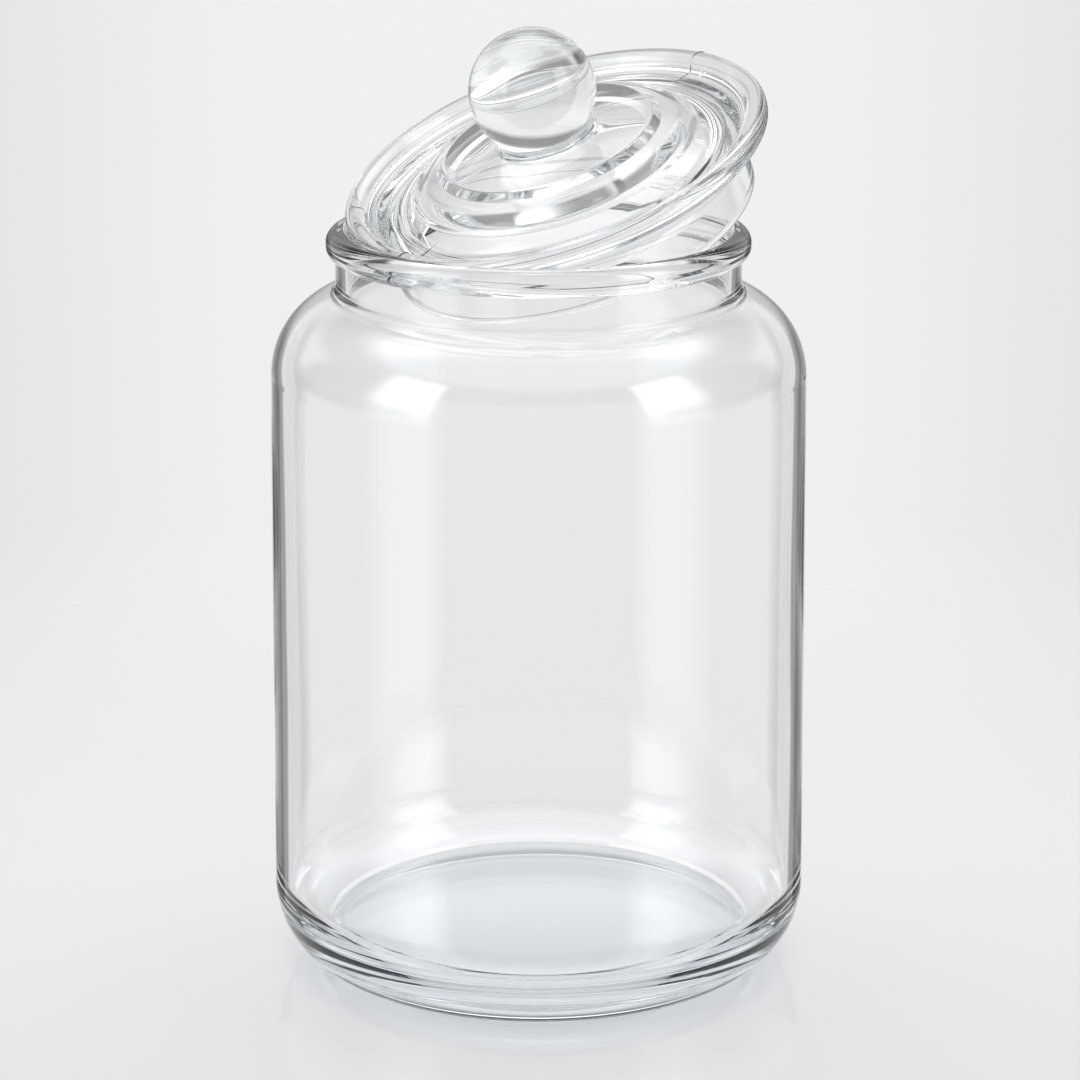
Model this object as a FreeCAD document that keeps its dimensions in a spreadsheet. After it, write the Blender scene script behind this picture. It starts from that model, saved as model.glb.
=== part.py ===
import FreeCAD, Part
import Sketcher
import math
import os
from collections import namedtuple

# A clear glass storage jar with its loose glass lid lying askew in the mouth.
#
# Both pieces are turned forms: each is one half-section revolved about its own axis.
# The jar stands on its bearing ring with its axis on Z. The lid is modelled level,
# with its plug's lower edge at height 0, then tipped and set down on the mouth, where
# its flange edge and its plug's lower edge both rest against the jar's rim.

# Driving dimensions, in millimetres and degrees. The jar's heights are from the
# surface it stands on and the lid's are from the lower edge of its plug.
SIZES = {
    # the jar's radii, each built outwards from the mouth
    "mouth_radius": 53.8,
    "neck_wall": 3.6,
    "shoulder_width": 18.46,    # how far the body stands out from the neck
    "wall_draft": 1.48,         # the body is this much wider at the heel
    "heel_inset": 17.1,         # from the body in to the bearing ring
    "ring_width": 2.2,          # the bearing ring is the only part that touches down
    "bead_overhang": 2.6,       # the bead round the mouth, past the neck
    # the jar's heights
    "push_up": 2.0,             # the underside's hollow
    "heel_rise": 5.75,
    "body_height": 191.4,       # where wall and shoulder would meet without a round
    "shoulder_rise": 6.7,
    "neck_height": 17.4,
    "bead_depth": 7.6,
    "bead_slope": 0.9,          # how much the bead's underside rises outwards
    # the jar's outer rounds
    "heel_round": 24.0,
    "shoulder_round": 24.35,
    "neck_round": 2.8,
    "bead_round": 3.5,
    "rim_edge_round": 1.8,
    # the jar's wall and inside
    "wall": 4.1,
    "heel_wall": 4.9,
    "shoulder_drop": 2.9,       # the shoulder's inside is this far below its outside
    "inner_neck_round": 4.0,
    "inner_shoulder_round": 20.3,
    "inner_heel_height": 15.9,
    "inner_heel_round": 18.0,
    "floor_inset": 15.44,       # from the body in to the fine groove round the floor
    "floor_edge_height": 10.55,
    "groove_width": 2.3,
    "groove_depth": 1.05,
    "groove_lip": 0.3,          # the floor's edge is this far below the heel's
    "floor_height": 13.0,       # at the middle
    # the lid's plug, which hangs in the mouth when the lid is on
    "plug_clearance": 1.0,
    "plug_length": 18.4,
    "plug_wall": 4.6,
    "plug_draft": 0.6,          # the hollow narrows by this much going up
    "plug_edge_round": 2.4,
    "plug_inner_round": 1.8,
    "hollow_side": 15.6,        # height of the hollow's side wall
    "hollow_rise": 3.8,         # its ceiling domes up by this much
    "hollow_round": 4.0,
    # the lid's flange
    "flange_overhang": 1.7,     # past the jar's bead when the lid is on
    "flange_thickness": 6.0,
    "flange_round": 2.9,
    "ridge_width": 5.9,         # the raised ridge round the flange
    "ridge_slope": 0.9,
    "cove_depth": 3.9,
    "cove_width": 5.8,
    "cove_round": 1.9,
    "land_width": 7.2,
    "land_rise": 1.6,
    "land_round": 6.0,
    # the lid's stepped dome
    "dome_rise": 3.6,
    "dome_slope": 2.9,
    "dome_foot_round": 1.5,
    "dome_round": 8.0,
    "brow_width": 6.2,
    "brow_rise": 1.8,
    "step_width": 2.4,
    "step_rise": 2.0,
    "disc_round": 2.0,
    # the lid's ball knob
    "knob_foot_radius": 10.4,   # where the bare ball would meet the disc
    "knob_height": 32.3,        # from the disc to the top of the ball
    "knob_round": 1.8,
    # how the loose lid lies
    "lid_tilt": 22.35,
    "low_side": -137.9,         # heading of the lid's lowest point, from +X
    "rest_gap": 0.02,           # left between lid and rim where they touch
}

# Radii and heights that several corners share, as sums of the sizes above.
NECK = ("mouth_radius", "neck_wall")
BEAD = NECK + ("bead_overhang",)
BODY = NECK + ("shoulder_width",)
HEEL = BODY + ("wall_draft",)
RING = HEEL + ("-heel_inset",)
FLOOR = HEEL + ("-floor_inset",)
NECK_FOOT = ("body_height", "shoulder_rise")
RIM = NECK_FOOT + ("neck_height",)
BEAD_UNDER = RIM + ("-bead_depth",)
PLUG = ("mouth_radius", "-plug_clearance")
PLUG_INSIDE = PLUG + ("-plug_wall",)
FLANGE = BEAD + ("flange_overhang",)
RIDGE_IN = FLANGE + ("-ridge_width",)
COVE_OUT = RIDGE_IN + ("-ridge_slope",)
COVE_IN = COVE_OUT + ("-cove_width",)
DOME_FOOT = COVE_IN + ("-land_width",)
DOME_SIDE = DOME_FOOT + ("-dome_slope",)
STEP_FOOT = DOME_SIDE + ("-brow_width",)
DISC = STEP_FOOT + ("-step_width",)
FLANGE_TOP = ("plug_length", "flange_thickness")
COVE = FLANGE_TOP + ("-cove_depth",)
LAND = COVE + ("land_rise",)
DOME_SIDE_UP = LAND + ("dome_rise",)
STEP_FOOT_UP = DOME_SIDE_UP + ("brow_rise",)
DISC_UP = STEP_FOOT_UP + ("step_rise",)


def make_sheet():
    """Put the driving dimensions into the document's spreadsheet."""
    sizes = doc.addObject("Spreadsheet::Sheet", "Sizes")
    sizes.Label = "Sizes"
    for row, (alias, value) in enumerate(SIZES.items(), start=1):
        sizes.set("A%d" % row, alias)
        sizes.set("B%d" % row, str(value))
        sizes.setAlias("B%d" % row, alias)
    doc.recompute()
    return sizes


def size(*terms):
    """Add up sheet values: size("body_height", "-wall") is body_height less wall."""
    total = 0.0
    for term in terms:
        sign = -1.0 if term.startswith("-") else 1.0
        total += sign * float(sheet.get(term.lstrip("-")))
    return total


def expression(terms):
    """The same sum, written for setExpression."""
    text = ""
    for term in terms:
        joiner = " - " if term.startswith("-") else " + "
        text += joiner + "Sizes." + term.lstrip("-")
    return text.removeprefix(" + ")


def unit(start, end):
    """Unit vector from one point to another."""
    return (end - start).normalize()


# A corner of a half-section. across and up are sums of sheet values, and an empty one
# means 0. round names the radius that rounds the corner off. domed says that the edge
# which leaves the corner is an arc centred on the piece's axis, not a straight line.
Corner = namedtuple("Corner", "across up round domed", defaults=(None, False))

# How sketch constraints name the vertical axis, the origin and the points of an edge.
AXIS = -2
ORIGIN = -1
START = 1
END = 2
CENTRE = 3


class HalfSection:
    """A closed half-section in a body's XZ plane, drawn and dimensioned by its corners."""

    def __init__(self, body, name, corners):
        plane = next(f for f in body.Origin.OriginFeatures if f.Role == "XZ_Plane")
        self.sketch = body.newObject("Sketcher::SketchObject", name)
        self.sketch.AttachmentSupport = [(plane, "")]
        self.sketch.MapMode = "FlatFace"
        self.corners = corners
        self.points = [FreeCAD.Vector(size(*c.across), size(*c.up), 0) for c in corners]
        self.centres = [self.round_centre(i) for i in range(len(corners))]
        self.edges = [self.add_edge(i) for i in range(len(corners))]
        for i in range(len(corners)):
            self.close_corner(i)

    def ends(self, i):
        """The corner that edge i leaves and the corner that it reaches."""
        return self.points[i], self.points[(i + 1) % len(self.points)]

    def dome_centre(self, i):
        """Centre, on the axis, of the arc from corner i to the next."""
        start, end = self.ends(i)
        return FreeCAD.Vector(0, (start.dot(start) - end.dot(end)) / (2 * (start.y - end.y)), 0)

    def heading(self, i, point):
        """Direction of edge i where it passes a point."""
        start, end = self.ends(i)
        if not self.corners[i].domed:
            return unit(start, end)
        spoke = unit(self.dome_centre(i), point)
        along = FreeCAD.Vector(-spoke.y, spoke.x, 0)
        return along if along.dot(end - start) > 0 else -along

    def foot(self, i, point):
        """The point of edge i's line or circle that is nearest to a point."""
        start = self.points[i]
        if not self.corners[i].domed:
            along = self.heading(i, start)
            return start + along * (point - start).dot(along)
        centre = self.dome_centre(i)
        return centre + unit(centre, point) * centre.distanceToPoint(start)

    def round_centre(self, i):
        """Centre of corner i's round, which is its radius away from both edges."""
        if self.corners[i].round is None:
            return None
        radius = size(self.corners[i].round)
        corner = self.points[i]
        arriving = self.heading(i - 1, corner)
        leaving = self.heading(i, corner)
        inward = unit(arriving, leaving)
        centre = corner + inward * (radius / math.cos(arriving.getAngle(leaving) / 2))
        # The first guess is right for straight edges, and these steps suit it to arcs.
        for _ in range(12):
            near = self.foot(i - 1, centre)
            far = self.foot(i, centre)
            a = unit(near, centre)
            b = unit(far, centre)
            short_a = radius - near.distanceToPoint(centre)
            short_b = radius - far.distanceToPoint(centre)
            spread = a.x * b.y - a.y * b.x
            across = (short_a * b.y - short_b * a.y) / spread
            up = (short_b * a.x - short_a * b.x) / spread
            centre = centre + FreeCAD.Vector(across, up, 0)
        return centre

    def trimmed(self, i, corner):
        """Where edge i stops at a corner, once the corner's round has cut it back."""
        if self.centres[corner] is None:
            return self.points[corner]
        return self.foot(i, self.centres[corner])

    def add(self, kind, *parts, terms=None):
        """Add one constraint, bound to the sheet where terms names sheet values."""
        if terms is None:
            self.sketch.addConstraint(Sketcher.Constraint(kind, *parts))
            return
        index = self.sketch.addConstraint(Sketcher.Constraint(kind, *parts, size(*terms)))
        self.sketch.setExpression("Constraints[%d]" % index, expression(terms))

    def add_arc(self, centre, start, end):
        """An arc, the short way round: its id, and which of its ends is which."""
        first = math.atan2(start.y - centre.y, start.x - centre.x)
        last = math.atan2(end.y - centre.y, end.x - centre.x)
        circle = Part.Circle(centre, FreeCAD.Vector(0, 0, 1), centre.distanceToPoint(start))
        if (last - first) % (2 * math.pi) < math.pi:
            return self.sketch.addGeometry(Part.ArcOfCircle(circle, first, last), False), START, END
        return self.sketch.addGeometry(Part.ArcOfCircle(circle, last, first), False), END, START

    def add_edge(self, i):
        """Edge i, from round to round: its id, and which of its ends is which."""
        start = self.trimmed(i, i)
        end = self.trimmed(i, (i + 1) % len(self.points))
        if not self.corners[i].domed:
            return self.sketch.addGeometry(Part.LineSegment(start, end), False), START, END
        edge = self.add_arc(self.dome_centre(i), start, end)
        self.add("PointOnObject", edge[0], CENTRE, AXIS)
        return edge

    def place(self, geometry, position, corner):
        """Dimension a point from the axis and the ground."""
        if corner.across:
            self.add("DistanceX", ORIGIN, 1, geometry, position, terms=corner.across)
        else:
            self.add("PointOnObject", geometry, position, AXIS)
        if corner.up:
            self.add("DistanceY", ORIGIN, 1, geometry, position, terms=corner.up)
        else:
            self.add("PointOnObject", geometry, position, ORIGIN)

    def close_corner(self, i):
        """Join the edges on either side of corner i, through its round if it has one."""
        corner = self.corners[i]
        before, _, before_end = self.edges[i - 1]
        after, after_start, _ = self.edges[i]
        if corner.round is None:
            self.add("Coincident", before, before_end, after, after_start)
            self.place(after, after_start, corner)
            return
        arc, arc_start, arc_end = self.add_arc(
            self.centres[i], self.trimmed(i - 1, i), self.trimmed(i, i))
        self.add("Tangent", before, before_end, arc, arc_start)
        self.add("Tangent", arc, arc_end, after, after_start)
        self.add("Radius", arc, terms=(corner.round,))
        apex = self.sketch.addGeometry(Part.Point(self.points[i]), True)
        self.add("PointOnObject", apex, START, before)
        self.add("PointOnObject", apex, START, after)
        self.place(apex, START, corner)


def turned_body(label, corners):
    """A PartDesign body made by revolving one half-section about Z."""
    body = doc.addObject("PartDesign::Body", label)
    body.Label = label
    section = HalfSection(body, label + "_section", corners)
    turn = body.newObject("PartDesign::Revolution", label + "_turn")
    turn.Profile = section.sketch
    turn.ReferenceAxis = (section.sketch, ["V_Axis"])
    turn.Angle = 360.0
    section.sketch.Visibility = False
    return body


def jar_corners():
    """The jar's wall: from under the middle out, up and over the rim, and back inside."""
    return [
        Corner((), ("push_up",), domed=True),
        Corner(RING + ("-ring_width",), ()),
        Corner(RING, ()),
        Corner(HEEL, ("heel_rise",), "heel_round"),
        Corner(BODY, ("body_height",), "shoulder_round"),
        Corner(NECK, NECK_FOOT, "neck_round"),
        Corner(NECK, BEAD_UNDER),
        Corner(BEAD, BEAD_UNDER + ("bead_slope",), "bead_round"),
        Corner(BEAD, RIM, "bead_round"),
        Corner(("mouth_radius",), RIM, "rim_edge_round"),
        Corner(("mouth_radius",), NECK_FOOT + ("-shoulder_drop",), "inner_neck_round"),
        Corner(BODY + ("-wall",), ("body_height", "-shoulder_drop"), "inner_shoulder_round"),
        Corner(HEEL + ("-heel_wall",), ("inner_heel_height",), "inner_heel_round"),
        Corner(FLOOR, ("floor_edge_height",)),
        Corner(FLOOR + ("-groove_depth",), ("floor_edge_height", "-groove_depth")),
        Corner(FLOOR + ("-groove_width",), ("floor_edge_height", "-groove_lip"), domed=True),
        Corner((), ("floor_height",)),
    ]


def lid_corners():
    """The lid: from the hollow's ceiling out, round the flange, and up over the knob."""
    return [
        Corner((), ("hollow_side", "hollow_rise"), domed=True),
        Corner(PLUG_INSIDE + ("-plug_draft",), ("hollow_side",), "hollow_round"),
        Corner(PLUG_INSIDE, (), "plug_inner_round"),
        Corner(PLUG, (), "plug_edge_round"),
        Corner(PLUG, ("plug_length",)),
        Corner(FLANGE, ("plug_length",), "flange_round"),
        Corner(FLANGE, FLANGE_TOP, "flange_round"),
        Corner(RIDGE_IN, FLANGE_TOP, "flange_round"),
        Corner(COVE_OUT, COVE, "cove_round"),
        Corner(COVE_IN, COVE, "land_round"),
        Corner(DOME_FOOT, LAND, "dome_foot_round"),
        Corner(DOME_SIDE, DOME_SIDE_UP, "dome_round"),
        Corner(STEP_FOOT, STEP_FOOT_UP),
        Corner(DISC, DISC_UP, "disc_round"),
        Corner(("knob_foot_radius",), DISC_UP, "knob_round", True),
        Corner((), DISC_UP + ("knob_height",)),
    ]


def edge_gap(radius, rise, tube, shift, height):
    """Least gap between one rounded edge of the tipped lid and the mouth's inner edge.

    The edge is a tube round a circle of the lid. shift is how far the lid's own origin
    stands from the jar's axis towards the high side, and height is its level.
    """
    tilt = math.radians(size("lid_tilt"))
    rim_radius = size("mouth_radius", "rim_edge_round")
    rim_level = size(*RIM, "-rim_edge_round")
    middle = rise * math.sin(tilt) - shift
    level = height + rise * math.cos(tilt)
    least = math.inf
    for step in range(361):
        turn = math.radians(step / 2)
        ahead = middle + radius * math.cos(turn) * math.cos(tilt)
        aside = radius * math.sin(turn)
        up = level - radius * math.cos(turn) * math.sin(tilt)
        least = min(least, math.hypot(math.hypot(ahead, aside) - rim_radius, up - rim_level))
    return least - tube - size("rim_edge_round")


def resting_height(edges, shift):
    """Lowest level of the lid, coming down from above, at which no edge touches."""
    gap = size("rest_gap")
    low = size(*RIM) + size(*FLANGE)
    while min(edge_gap(*edge, shift, low) for edge in edges) > gap:
        low -= 0.5
    high = low + 0.5
    for _ in range(20):
        middle = (low + high) / 2
        if min(edge_gap(*edge, shift, middle) for edge in edges) > gap:
            high = middle
        else:
            low = middle
    return high


def seat_lid():
    """Where the tipped lid comes to rest, held by its flange and its plug at once.

    Moving it towards its high side lets the flange down and lifts the plug's edge, so
    it settles at the shift where the two stop it at the same height.
    """
    tube = size("flange_round")
    lower = (size(*FLANGE, "-flange_round"), size("plug_length") + tube, tube)
    upper = (size(*FLANGE, "-flange_round"), size(*FLANGE_TOP) - tube, tube)
    tube = size("plug_edge_round")
    plug = (size(*PLUG, "-plug_edge_round"), tube, tube)
    near = 0.0
    far = size("mouth_radius") / 2
    for _ in range(20):
        shift = (near + far) / 2
        if resting_height([lower, upper], shift) > resting_height([plug], shift):
            near = shift
        else:
            far = shift
    height = resting_height([lower, upper, plug], shift)
    heading = math.radians(size("low_side"))
    position = FreeCAD.Vector(-shift * math.cos(heading), -shift * math.sin(heading), height)
    hinge = FreeCAD.Vector(-math.sin(heading), math.cos(heading), 0)
    return FreeCAD.Placement(position, FreeCAD.Rotation(hinge, size("lid_tilt")))


def check(pieces):
    """Stop the build if a feature has failed or a piece is not one sound solid."""
    for feature in doc.Objects:
        faults = [state for state in feature.State if state in ("Invalid", "Error")]
        if faults:
            raise RuntimeError("%s: %s" % (feature.Label, faults))
    for piece in pieces:
        shape = piece.Shape
        if shape.isNull() or not shape.isValid() or len(shape.Solids) != 1:
            raise RuntimeError("%s is not one valid solid" % piece.Label)


os.makedirs("parts", exist_ok=True)
doc = FreeCAD.newDocument("StorageJar")
sheet = make_sheet()
jar = turned_body("jar", jar_corners())
lid = turned_body("lid", lid_corners())
lid.Placement = seat_lid()
doc.recompute()
check([jar, lid])
for piece in (jar, lid):
    piece.Shape.exportStep("parts/%s.step" % piece.Label)
    print("%s: %.1f cm3" % (piece.Label, piece.Shape.Volume / 1000))
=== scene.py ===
import bpy
import math
import numpy as np
from mathutils import Matrix, Vector


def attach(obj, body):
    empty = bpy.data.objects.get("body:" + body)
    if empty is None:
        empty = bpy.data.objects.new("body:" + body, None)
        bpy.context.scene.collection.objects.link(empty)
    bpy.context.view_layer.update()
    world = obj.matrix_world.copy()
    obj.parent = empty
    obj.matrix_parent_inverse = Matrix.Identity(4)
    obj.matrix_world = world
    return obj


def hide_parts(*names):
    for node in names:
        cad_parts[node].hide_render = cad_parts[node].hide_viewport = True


# An empty glass storage jar with its loose glass lid lying askew in the mouth.
#
# Both pieces are turned forms, as in the CAD model: an outline through corners, in
# millimetres, is turned about the piece's own axis. The jar stands at height 0. The lid is
# made level, then tipped and set down on the jar's rim. Blender's own lengths are metres.
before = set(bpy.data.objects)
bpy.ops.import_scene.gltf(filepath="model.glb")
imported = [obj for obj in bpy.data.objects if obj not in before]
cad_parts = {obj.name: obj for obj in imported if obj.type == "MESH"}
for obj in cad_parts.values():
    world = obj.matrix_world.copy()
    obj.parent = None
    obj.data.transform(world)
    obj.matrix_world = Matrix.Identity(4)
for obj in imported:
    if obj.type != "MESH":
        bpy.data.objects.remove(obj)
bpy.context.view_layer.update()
MM = 0.001


# ---- outlines --------------------------------------------------------------------------
# A point of an outline is (r, z, dr, dz), where (dr, dz) is the outline's direction. An
# outline starts and ends on the axis, and the glass lies to the left of its direction.
ARC_STEP = 0.09         # radians between the points of a round
DOME_SPACING = 3.0      # millimetres between the points of a dome
SAME_POINT = 0.004      # millimetres within which two points count as one


def unit(vector):
    return vector / np.linalg.norm(vector)


def point_on(centre, radius, angle, sense):
    """A point of an arc that turns left where sense is 1, and right where it is -1."""
    c = math.cos(angle)
    s = math.sin(angle)
    return (centre[0] + radius * c, centre[1] + radius * s, -s * sense, c * sense)


def sweep(centre, radius, first, last, step=ARC_STEP):
    """Points round an arc from one angle to another."""
    count = max(3, math.ceil(abs(last - first) / step))
    sense = 1 if last > first else -1
    return [point_on(centre, radius, first + (last - first) * i / count, sense)
            for i in range(count + 1)]


def rounded_corner(before, corner, after, radius):
    """The arc that rounds off a corner on its way from the one before to the one after."""
    arriving = unit(corner - before)
    leaving = unit(after - corner)
    turn = math.acos(np.clip(arriving @ leaving, -1, 1))
    side = 1 if arriving[0] * leaving[1] - arriving[1] * leaving[0] > 0 else -1
    start = corner - arriving * radius * math.tan(turn / 2)
    centre = start + np.array((-arriving[1], arriving[0])) * side * radius
    angle = math.atan2(start[1] - centre[1], start[0] - centre[0])
    return sweep(centre, radius, angle, angle + side * turn)


def straight_run(start, end, spacing):
    """Points between the start and the end of a straight run, without those two."""
    run = (end[0] - start[0], end[1] - start[1])
    count = int(math.hypot(*run) / spacing)
    shares = [(k + 1) / (count + 1) for k in range(count)]
    return [(start[0] + run[0] * share, start[1] + run[1] * share, end[2], end[3])
            for share in shares]


def outline_through(corners, spacing):
    """Outline through corners (r, z, round), of which the first and last aren't rounded."""
    places = [np.array(corner[:2]) for corner in corners]
    pts = []
    for i, (r, z, radius) in enumerate(corners):
        if i == 0:
            arc = [(r, z, *unit(places[1] - places[0]))]
        elif i == len(corners) - 1:
            arc = [(r, z, *unit(places[-1] - places[-2]))]
        else:
            arc = rounded_corner(places[i - 1], places[i], places[i + 1], radius)
        if pts:
            pts += straight_run(pts[-1], arc[0], spacing)
        pts += arc
    return pts


def dome(middle, edge):
    """A shallow dome from the axis out to its edge (r, z), an arc centred on the axis."""
    r, z = edge
    centre = (middle * middle - r * r - z * z) / (2 * (middle - z))
    radius = abs(middle - centre)
    up = 1 if middle > centre else -1
    first = up * math.pi / 2
    last = first - up * math.asin(r / radius)
    return sweep((0.0, centre), radius, first, last, step=DOME_SPACING / radius)


def reverse(pts):
    """The same outline, run the other way."""
    return [(r, z, -dr, -dz) for r, z, dr, dz in reversed(pts)]


def clean(pts):
    """Drop points that repeat the one before."""
    kept = [pts[0]]
    for p in pts[1:]:
        if math.hypot(p[0] - kept[-1][0], p[1] - kept[-1][1]) > SAME_POINT:
            kept.append(p)
    return kept


# ---- turned forms ----------------------------------------------------------------------
STEPS_ROUND = 320       # divisions of a full turn
SLOPE_STEP = 0.05       # millimetres each way over which a relief's slope is measured


def distinct(angles):
    return {round(angle % (2 * math.pi), 6) for angle in angles}


def turned(name, outline, relief, extra_angles=()):
    """A closed form turned from an outline, with the exact normals of its vertices.

    relief says how many millimetres the surface stands proud of the turned form at
    r, z and an angle. It is also told which way the form faces there, as (r, z).
    """
    evenly = [2 * math.pi * i / STEPS_ROUND for i in range(STEPS_ROUND)]
    a = np.array(sorted(distinct(evenly) | distinct(extra_angles)))[None, :]
    line = np.array(outline)
    r, z, dr, dz = (line[1:-1, k][:, None] for k in range(4))
    facing = (dz, -dr)
    proud = relief(r, z, a, facing)
    ahead = relief(r + SLOPE_STEP * dr, z + SLOPE_STEP * dz, a, facing)
    behind = relief(r - SLOPE_STEP * dr, z - SLOPE_STEP * dz, a, facing)
    left = relief(r, z, a + SLOPE_STEP / r, facing)
    right = relief(r, z, a - SLOPE_STEP / r, facing)
    slope_along = (ahead - behind) / (2 * SLOPE_STEP)
    slope_round = (left - right) / (2 * SLOPE_STEP)

    radius = r + facing[0] * proud
    height = z + facing[1] * proud
    rings = np.stack([radius * np.cos(a), radius * np.sin(a), height], -1)
    outward = facing[0] - slope_along * dr
    upward = facing[1] - slope_along * dz
    ring_normals = np.stack([
        outward * np.cos(a) + slope_round * np.sin(a),
        outward * np.sin(a) - slope_round * np.cos(a),
        upward], -1)
    ring_normals /= np.linalg.norm(ring_normals, axis=-1, keepdims=True)

    ends = [[0, 0, line[0, 1]], [0, 0, line[-1, 1]]]
    end_normals = [[0, 0, -line[0, 2]], [0, 0, -line[-1, 2]]]
    verts = np.vstack([rings.reshape(-1, 3), ends]) * MM
    normals = np.vstack([ring_normals.reshape(-1, 3), end_normals])

    rows, cols = rings.shape[:2]
    first = rows * cols
    final = first + 1
    faces = []
    for i in range(rows - 1):
        here = i * cols
        there = here + cols
        for j in range(cols):
            k = (j + 1) % cols
            faces.append((here + j, here + k, there + k, there + j))
    last_ring = (rows - 1) * cols
    for j in range(cols):
        k = (j + 1) % cols
        faces.append((first, k, j))
        faces.append((final, last_ring + j, last_ring + k))

    mesh = bpy.data.meshes.new(name)
    mesh.from_pydata(verts.tolist(), [], faces)
    mesh.update()
    obj = bpy.data.objects.new(name, mesh)
    bpy.context.scene.collection.objects.link(obj)
    return obj, normals


def place(obj, normals, matrix):
    """Bake a placement into a turned form and give it its exact surface normals."""
    obj.data.transform(matrix)
    turn = np.array(matrix.to_3x3())
    obj.data.shade_smooth()
    obj.data.normals_split_custom_set_from_vertices((normals @ turn.T).tolist())
    obj.data.update()


def fade(value, none, full):
    """0 at none and before it, 1 at full and after it, and straight between the two."""
    return np.clip((value - none) / (full - none), 0, 1)


# The slow, shallow unevenness that pressed and blown glass has, as a sum of waves. Each
# wave has how many go round, its change of phase for each millimetre up and for each
# millimetre out, its own phase, and its share.
WAVES = [
    (3, 0.045, 0.0, 0.7, 1.0),
    (5, -0.06, 0.0, 2.1, 0.7),
    (2, 0.11, 0.0, -0.4, 0.6),
    (4, 0.09, 0.05, 0.0, 0.5),
]


def uneven(r, z, a, size):
    return size * sum(share * np.sin(count * a + up * z + out * r + phase)
                      for count, up, out, phase, share in WAVES)


# ---- the jar ---------------------------------------------------------------------------
PUSH_UP = 2.0                   # height of the underside in its middle
UNDER_EDGE = (56.0, 0.14)       # where the hollow underside meets the bearing ring
FLOOR_MIDDLE = 13.0             # height of the jar's own floor in its middle
FLOOR_EDGE = (58.0, 10.55)
JAR_SPACING = 5.0               # millimetres between points along a straight run
JAR_WAVE = 0.035
JAR_CORNERS = [
    (*UNDER_EDGE, 0),
    (58.0, 0.0, 9.0),           # bearing ring
    (60.24, 0.0, 3.0),
    (77.34, 5.75, 24.0),        # heel
    (75.86, 191.4, 24.35),      # shoulder
    (57.4, 198.1, 2.8),         # foot of the neck
    (57.4, 207.9, 0.25),        # bead round the mouth
    (60.0, 208.8, 3.5),
    (60.0, 215.5, 3.5),
    (53.8, 215.5, 1.8),         # inner edge of the mouth
    (53.8, 195.2, 4.0),         # inside of the neck's foot
    (71.76, 188.5, 20.3),       # inside of the shoulder
    (72.44, 15.9, 18.0),        # inside of the heel
    (61.9, 10.75, 0.4),         # fine groove round the floor
    (60.95, 9.3, 0.4),
    (59.6, 10.45, 0.5),
    (*FLOOR_EDGE, 0),
]


def jar_relief(r, z, a, facing):
    """Unevenness on the inside of the wall, which no mould shapes."""
    inside = np.where(facing[0] < 0, 1.0, 0.0) * fade(z, 14, 34) * fade(z, 205, 193)
    return uneven(r, z, a, JAR_WAVE) * inside


jar_outline = dome(PUSH_UP, UNDER_EDGE)
jar_outline += outline_through(JAR_CORNERS, JAR_SPACING)
jar_outline += reverse(dome(FLOOR_MIDDLE, FLOOR_EDGE))
jar, jar_normals = turned("jar_glass", clean(jar_outline), jar_relief)
place(jar, jar_normals, Matrix.Identity(4))


# ---- the lid, level, with its plug's lower edge at height 0 ----------------------------
CEILING_MIDDLE = 23.5           # the ceiling of the hollow under the lid is a dome
CEILING_EDGE = (35.0, 20.6)
HOLLOW_TOP = 25.0               # no part of the hollow is higher
DISC = 29.5                     # height of the disc that carries the knob
BALL = 17.9                     # radius of the ball knob
BALL_UP = DISC + 32.3 - BALL    # height of its centre
FOOT = 1.8                      # radius of the round between the disc and the ball
FOOT_OUT = math.sqrt((BALL + FOOT) ** 2 - (BALL_UP - DISC - FOOT) ** 2)
FOOT_ANGLE = math.atan2(BALL_UP - DISC - FOOT, -FOOT_OUT)
LID_SPACING = 2.0               # millimetres between points along a straight run
LID_WAVE = 0.09
LID_CORNERS = [
    (*CEILING_EDGE, 0),
    (47.6, 14.0, 9.0),          # from the ceiling into the plug
    (48.2, 0.0, 1.8),           # lower edge of the plug
    (52.8, 0.0, 2.4),
    (52.8, 18.4, 1.2),          # underside of the flange
    (61.7, 18.4, 2.9),          # edge of the flange
    (61.7, 24.4, 2.9),
    (55.8, 24.4, 2.9),          # ridge round the flange
    (54.9, 20.5, 1.9),          # cove
    (49.1, 20.5, 6.0),
    (41.9, 22.1, 1.5),          # foot of the flank
    (39.0, 25.7, 11.0),         # flank
    (32.8, 27.5, 0.6),          # step up to the disc
    (30.4, DISC, 2.0),
    (FOOT_OUT, DISC, 0),
]

# The mould's seam runs out across the flange on two opposite sides of the lid.
SEAM = math.radians(40.0)
SEAM_HEIGHT = 0.25
SEAM_WIDTH = 0.22
SEAM_ROWS = (-0.6, -0.45, -0.35, -0.26, -0.18, -0.1, 0.0, 0.1, 0.18, 0.26, 0.35, 0.45, 0.6)


def lid_relief(r, z, a, facing):
    """The seam across the flange, and unevenness on the ceiling of the hollow."""
    ceiling = np.where((facing[1] < 0) & (z < HOLLOW_TOP), 1.0, 0.0) * fade(z, 13, 16)
    ceiling = ceiling * fade(r, 47, 41) * fade(r, 2, 10)
    across = r * np.sin(a - SEAM)
    seam = SEAM_HEIGHT * np.exp(-(across / SEAM_WIDTH) ** 2) * fade(r, 46, 48)
    return uneven(r, z, a, LID_WAVE) * ceiling + seam * fade(z, 19.5, 20.5)


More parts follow.
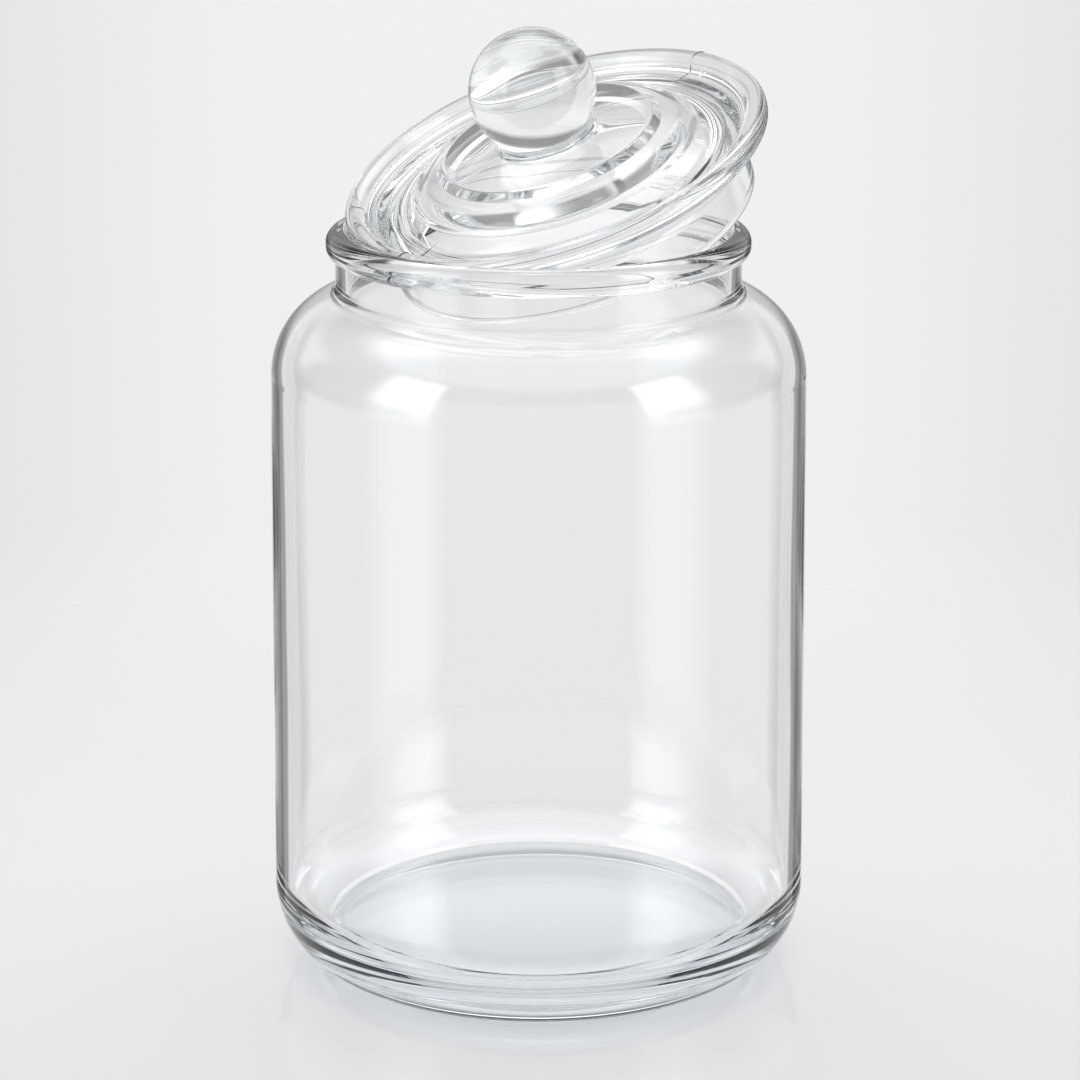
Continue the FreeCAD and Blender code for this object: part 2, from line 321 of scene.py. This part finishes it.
lid_outline = dome(CEILING_MIDDLE, CEILING_EDGE)
lid_outline += outline_through(LID_CORNERS, LID_SPACING)
lid_outline += sweep((FOOT_OUT, DISC + FOOT), FOOT, -math.pi / 2, FOOT_ANGLE - 2 * math.pi)
lid_outline += sweep((0, BALL_UP), BALL, FOOT_ANGLE - math.pi, math.pi / 2)
seam_angles = [SEAM + side + math.radians(row) for side in (0, math.pi) for row in SEAM_ROWS]
lid, lid_normals = turned("lid_glass", clean(lid_outline), lid_relief, seam_angles)

# The lid lies as the CAD lid does: tipped about a level line, and low towards -X -Y.
LID_AT = Vector((10.648, 9.621, 213.938)) * MM
LID_TILT = math.radians(22.35)
LOW_SIDE = math.radians(-137.9)
hinge = Vector((-math.sin(LOW_SIDE), math.cos(LOW_SIDE), 0))
place(lid, lid_normals, Matrix.Translation(LID_AT) @ Matrix.Rotation(LID_TILT, 4, hinge))

for piece, node in ((jar, "jar"), (lid, "lid")):
    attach(piece, "root")
    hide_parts(node)


# ---- node helpers ----------------------------------------------------------------------
def node_of(tree, kind, **values):
    node = tree.nodes.new(kind)
    for key, value in values.items():
        setattr(node, key, value)
    return node


def math_node(tree, operation, a, b=None):
    """The result of an operation on sockets or numbers."""
    node = node_of(tree, "ShaderNodeMath", operation=operation)
    for socket, value in zip(node.inputs, (a, b)):
        if isinstance(value, bpy.types.NodeSocket):
            tree.links.new(value, socket)
        elif value is not None:
            socket.default_value = value
    return node.outputs[0]


def product(tree, first, *others):
    for other in others:
        first = math_node(tree, "MULTIPLY", first, other)
    return first


def total(tree, first, *others):
    for other in others:
        first = math_node(tree, "ADD", first, other)
    return first


def at_most_one(tree, value):
    return math_node(tree, "MINIMUM", value, 1.0)


def magnitude(tree, value):
    return math_node(tree, "ABSOLUTE", value)


def step(tree, value, low, high, start=0.0, end=1.0, kind="SMOOTHSTEP"):
    """start where value is low or less, end where it is high or more, eased between."""
    node = node_of(tree, "ShaderNodeMapRange", interpolation_type=kind)
    tree.links.new(value, node.inputs["Value"])
    node.inputs["From Min"].default_value = low
    node.inputs["From Max"].default_value = high
    node.inputs["To Min"].default_value = start
    node.inputs["To Max"].default_value = end
    return node.outputs["Result"]


def either(tree, flag, no, yes):
    """One number where a 0 or 1 flag is 0, and another where it is 1."""
    return step(tree, flag, 0.0, 1.0, no, yes)


# ---- materials -------------------------------------------------------------------------
GLASS_TINT = (0.76, 0.81, 0.84, 1)
GLASS_DENSITY = 7.5
RIPPLE_SCALE = 26.0
RIPPLE_HEIGHT = 0.00012


def glass_material(name):
    """Clear soda-lime glass, faintly rippled, and faintly grey-blue where it is thick."""
    mat = bpy.data.materials.new(name)
    mat.use_nodes = True
    tree = mat.node_tree
    tree.nodes.clear()
    out = node_of(tree, "ShaderNodeOutputMaterial")
    surface = node_of(tree, "ShaderNodeBsdfPrincipled")
    surface.inputs["Base Color"].default_value = (1, 1, 1, 1)
    surface.inputs["Roughness"].default_value = 0.0
    surface.inputs["IOR"].default_value = 1.5
    surface.inputs["Transmission Weight"].default_value = 1.0
    absorb = node_of(tree, "ShaderNodeVolumeAbsorption")
    absorb.inputs["Color"].default_value = GLASS_TINT
    absorb.inputs["Density"].default_value = GLASS_DENSITY
    coords = node_of(tree, "ShaderNodeTexCoord")
    noise = node_of(tree, "ShaderNodeTexNoise")
    noise.inputs["Scale"].default_value = RIPPLE_SCALE
    noise.inputs["Detail"].default_value = 1.0
    bump = node_of(tree, "ShaderNodeBump")
    bump.inputs["Strength"].default_value = 0.25
    bump.inputs["Distance"].default_value = RIPPLE_HEIGHT
    link = tree.links.new
    link(coords.outputs["Object"], noise.inputs["Vector"])
    link(noise.outputs["Fac"], bump.inputs["Height"])
    link(bump.outputs["Normal"], surface.inputs["Normal"])
    link(surface.outputs["BSDF"], out.inputs["Surface"])
    link(absorb.outputs["Volume"], out.inputs["Volume"])
    return mat


glass = glass_material("clear_glass")
for piece in (jar, lid):
    piece.data.materials.append(glass)


# ---- floor -----------------------------------------------------------------------------
FLOOR_RADIUS = 3.0
FLOOR_SIDES = 64
FLOOR_DROP = 0.00003            # keeps the floor clear of the bearing ring
FLOOR_COLOUR = (0.79, 0.795, 0.81, 1)


def floor_point(i):
    angle = 2 * math.pi * i / FLOOR_SIDES
    return (FLOOR_RADIUS * math.cos(angle), FLOOR_RADIUS * math.sin(angle), -FLOOR_DROP)


def make_floor():
    """A pale satin surface that gives way to the backdrop further out."""
    mesh = bpy.data.meshes.new("floor")
    mesh.from_pydata([floor_point(i) for i in range(FLOOR_SIDES)], [], [tuple(range(FLOOR_SIDES))])
    floor = bpy.data.objects.new("floor", mesh)
    bpy.context.scene.collection.objects.link(floor)
    mat = bpy.data.materials.new("floor_white")
    mat.use_nodes = True
    tree = mat.node_tree
    tree.nodes.clear()
    link = tree.links.new
    out = node_of(tree, "ShaderNodeOutputMaterial")
    surface = node_of(tree, "ShaderNodeBsdfPrincipled")
    surface.inputs["Base Color"].default_value = FLOOR_COLOUR
    surface.inputs["Roughness"].default_value = 0.07
    surface.inputs["Specular IOR Level"].default_value = 0.35
    clear = node_of(tree, "ShaderNodeBsdfTransparent")
    mix = node_of(tree, "ShaderNodeMixShader")
    coords = node_of(tree, "ShaderNodeTexCoord")
    length = node_of(tree, "ShaderNodeVectorMath", operation="LENGTH")
    link(coords.outputs["Object"], length.inputs[0])
    radius = length.outputs["Value"]
    path = node_of(tree, "ShaderNodeLightPath")
    # Seen in or through the glass, the backdrop starts just beyond the jar.
    reflected = path.outputs["Is Glossy Ray"]
    refracted = path.outputs["Is Transmission Ray"]
    by_glass = math_node(tree, "MAXIMUM", reflected, refracted)
    near_fade = product(tree, by_glass, step(tree, radius, 0.08, 0.12))
    far_fade = step(tree, radius, 0.15, 0.55)
    link(math_node(tree, "MAXIMUM", near_fade, far_fade), mix.inputs["Fac"])
    link(surface.outputs["BSDF"], mix.inputs[1])
    link(clear.outputs["BSDF"], mix.inputs[2])
    link(mix.outputs["Shader"], out.inputs["Surface"])
    mesh.materials.append(mat)


# ---- studio ----------------------------------------------------------------------------
# How bright the studio is in a direction, from straight down (-1) to straight up (1):
# the table, the backdrop, a dark gap above it, and the ceiling.
LEVELS = [
    (-1.0, 0.35),
    (-0.62, 0.62),
    (-0.44, 0.80),
    (-0.05, 0.84),
    (0.2, 0.95),
    (0.36, 0.92),
    (0.46, 0.30),
    (0.66, 0.30),
    (0.76, 1.0),
    (1.0, 1.0),
]
STUDIO_COLOUR = (0.985, 0.995, 1.0, 1)
BACKDROP_COLOUR = (0.985, 0.985, 1.0, 1)
# The backdrop that the camera sees carries painted light, brighter where it swells.
PAINTED_BACKDROP_LIGHTS = 8.0                   # how many times round it grows brighter
PHOTO_AXIS = (0.0, 0.962, -0.274)       # the way the photo looks


def cosine(degrees):
    return math.cos(math.radians(degrees))


def studio_level(tree, z):
    """How bright the studio is at a height, by LEVELS."""
    level = node_of(tree, "ShaderNodeValToRGB")
    tree.links.new(step(tree, z, -1.0, 1.0, kind="LINEAR"), level.inputs["Fac"])
    elements = level.color_ramp.elements
    while len(elements) < len(LEVELS):
        elements.new(0.5)
    for element, (height, strength) in zip(elements, LEVELS):
        element.position = (height + 1) / 2
        element.color = (strength, strength, strength, 1)
    return level.outputs["Color"]


def dark_flags(tree, direction, x, y, z, reflected):
    """Black flags: a ring just outside the photo's view, and one wall on each side.

    They darken the edges of the glass, by its reflections more than by its refraction.
    """
    axis = node_of(tree, "ShaderNodeVectorMath", operation="DOT_PRODUCT")
    tree.links.new(direction, axis.inputs[0])
    axis.inputs[1].default_value = PHOTO_AXIS
    ahead = axis.outputs["Value"]
    ring = product(
        tree,
        step(tree, ahead, cosine(34), cosine(30)),              # its outer edge
        step(tree, ahead, cosine(16), cosine(12), 1.0, 0.0),    # its inner edge
        step(tree, z, -0.50, -0.42),                            # no part of it is lower
        step(tree, z, -0.06, 0.06, 1.0, 0.45),                  # weaker above
        either(tree, reflected, 0.25, 0.78))
    walls = product(
        tree,
        step(tree, magnitude(tree, x), 0.78, 0.88, 0.0, 0.92),  # out to the sides
        step(tree, z, -0.14, -0.04),                            # their lower edge
        step(tree, y, -0.75, -0.6),                             # not at the front
        either(tree, reflected, 0.3, 1.0))
    return math_node(tree, "MAXIMUM", ring, walls)


def front_softboxes(tree, x, y, z):
    """Tall softboxes at the front left and front right, brighter towards their tops."""
    towards = product(tree, y, -1.0)
    aside = magnitude(tree, math_node(tree, "ARCTAN2", x, towards))
    brightness = total(
        tree,
        step(tree, z, -0.25, -0.05, 0.55, 1.6),
        step(tree, z, 0.0, 0.25, 0.0, 2.2))
    return product(
        tree,
        step(tree, aside, math.radians(44), math.radians(50)),
        step(tree, aside, math.radians(70), math.radians(84), 1.0, 0.0),
        step(tree, z, 0.62, 0.72, 1.0, 0.0),
        brightness)


def overhead_softbox(tree, y, z, glossy):
    """A softbox above and behind the jar, brighter where it is reflected."""
    return product(
        tree,
        step(tree, z, 0.60, 0.85),
        either(tree, glossy, 0.4, 1.8),
        step(tree, y, 0.0, 0.35, 0.15, 1.0))


def make_world():
    """A pale studio: a backdrop with painted light, brighter straight behind the jar and at every
    eighth of a turn, dark flags just out of view, and softboxes.
    """
    world = bpy.data.worlds.new("studio")
    bpy.context.scene.world = world
    world.use_nodes = True
    tree = world.node_tree
    tree.nodes.clear()
    link = tree.links.new
    out = node_of(tree, "ShaderNodeOutputWorld")
    path = node_of(tree, "ShaderNodeLightPath")
    coords = node_of(tree, "ShaderNodeTexCoord")
    direction = coords.outputs["Generated"]
    split = node_of(tree, "ShaderNodeSeparateXYZ")
    link(direction, split.inputs[0])
    x, y, z = split.outputs
    # Only the polished glass sees the flags and the front softboxes. The satin floor
    # doesn't, and it sees the overhead softbox only faintly.
    sharp = path.outputs["Is Singular Ray"]
    glossy = product(tree, path.outputs["Is Glossy Ray"], sharp)
    reflected = at_most_one(tree, path.outputs["Glossy Depth"])
    flags = product(tree, dark_flags(tree, direction, x, y, z, reflected), sharp)
    unflagged = math_node(tree, "SUBTRACT", 1.0, flags)
    seen = total(
        tree,
        product(tree, studio_level(tree, z), unflagged),
        product(tree, front_softboxes(tree, x, y, z), glossy),
        overhead_softbox(tree, y, z, glossy))
    # What lights the floor is even, and brighter where it comes through the glass, so
    # that the glass casts only a faint shadow.
    refracted = at_most_one(tree, path.outputs["Transmission Depth"])
    even = node_of(tree, "ShaderNodeMix", data_type="FLOAT")
    link(at_most_one(tree, path.outputs["Diffuse Depth"]), even.inputs[0])
    link(seen, even.inputs[2])
    link(either(tree, refracted, 0.83, 1.08), even.inputs[3])
    studio = node_of(tree, "ShaderNodeBackground")
    studio.inputs["Color"].default_value = STUDIO_COLOUR
    link(even.outputs[0], studio.inputs["Strength"])
    # Painted light: the backdrop behind the scene is painted brighter straight behind the
    #  jar, as if lit there, and again at every eighth of a turn.
    heading = math_node(tree, "ARCTAN2", x, y)
    painted_backdrop_light = math_node(tree, "COSINE", product(tree, heading, PAINTED_BACKDROP_LIGHTS))
    backdrop = node_of(tree, "ShaderNodeBackground")
    backdrop.inputs["Color"].default_value = BACKDROP_COLOUR
    link(step(tree, painted_backdrop_light, 0.3, 0.95, 0.785, 0.885), backdrop.inputs["Strength"])
    mix = node_of(tree, "ShaderNodeMixShader")
    link(path.outputs["Is Camera Ray"], mix.inputs["Fac"])
    link(studio.outputs["Background"], mix.inputs[1])
    link(backdrop.outputs["Background"], mix.inputs[2])
    link(mix.outputs["Shader"], out.inputs["Surface"])


LIGHT_SIZE = 1.0
LIGHT_POWER = 4.0
LIGHT_AT = (0.0, 0.25, 1.3)


def make_overhead_light():
    """A soft square light above the jar, aimed at its foot, that only lights the floor."""
    light = bpy.data.lights.new("overhead", "AREA")
    light.shape = "SQUARE"
    light.size = LIGHT_SIZE
    light.energy = LIGHT_POWER
    obj = bpy.data.objects.new("overhead", light)
    bpy.context.scene.collection.objects.link(obj)
    obj.location = LIGHT_AT
    obj.rotation_euler = (-Vector(LIGHT_AT)).to_track_quat("-Z", "Y").to_euler()
    obj.visible_camera = False
    obj.visible_glossy = False
    obj.visible_transmission = False


make_floor()
make_world()
make_overhead_light()

# ---- camera ----------------------------------------------------------------------------
VIEW_DOWN = 15.894      # degrees below level

camera_data = bpy.data.cameras.new("camera")
camera_data.sensor_width = 36.0
camera_data.lens = 134.07
camera = bpy.data.objects.new("camera", camera_data)
bpy.context.scene.collection.objects.link(camera)
camera.location = (0.0004, -1.1121, 0.4409)
camera.rotation_euler = (math.radians(90 - VIEW_DOWN), 0, 0)
bpy.context.scene.camera = camera

scene = bpy.context.scene
scene.view_settings.view_transform = "Standard"
scene.cycles.max_bounces = 32
scene.cycles.transmission_bounces = 32
scene.cycles.glossy_bounces = 12
scene.cycles.transparent_max_bounces = 16
scene.cycles.blur_glossy = 0.0
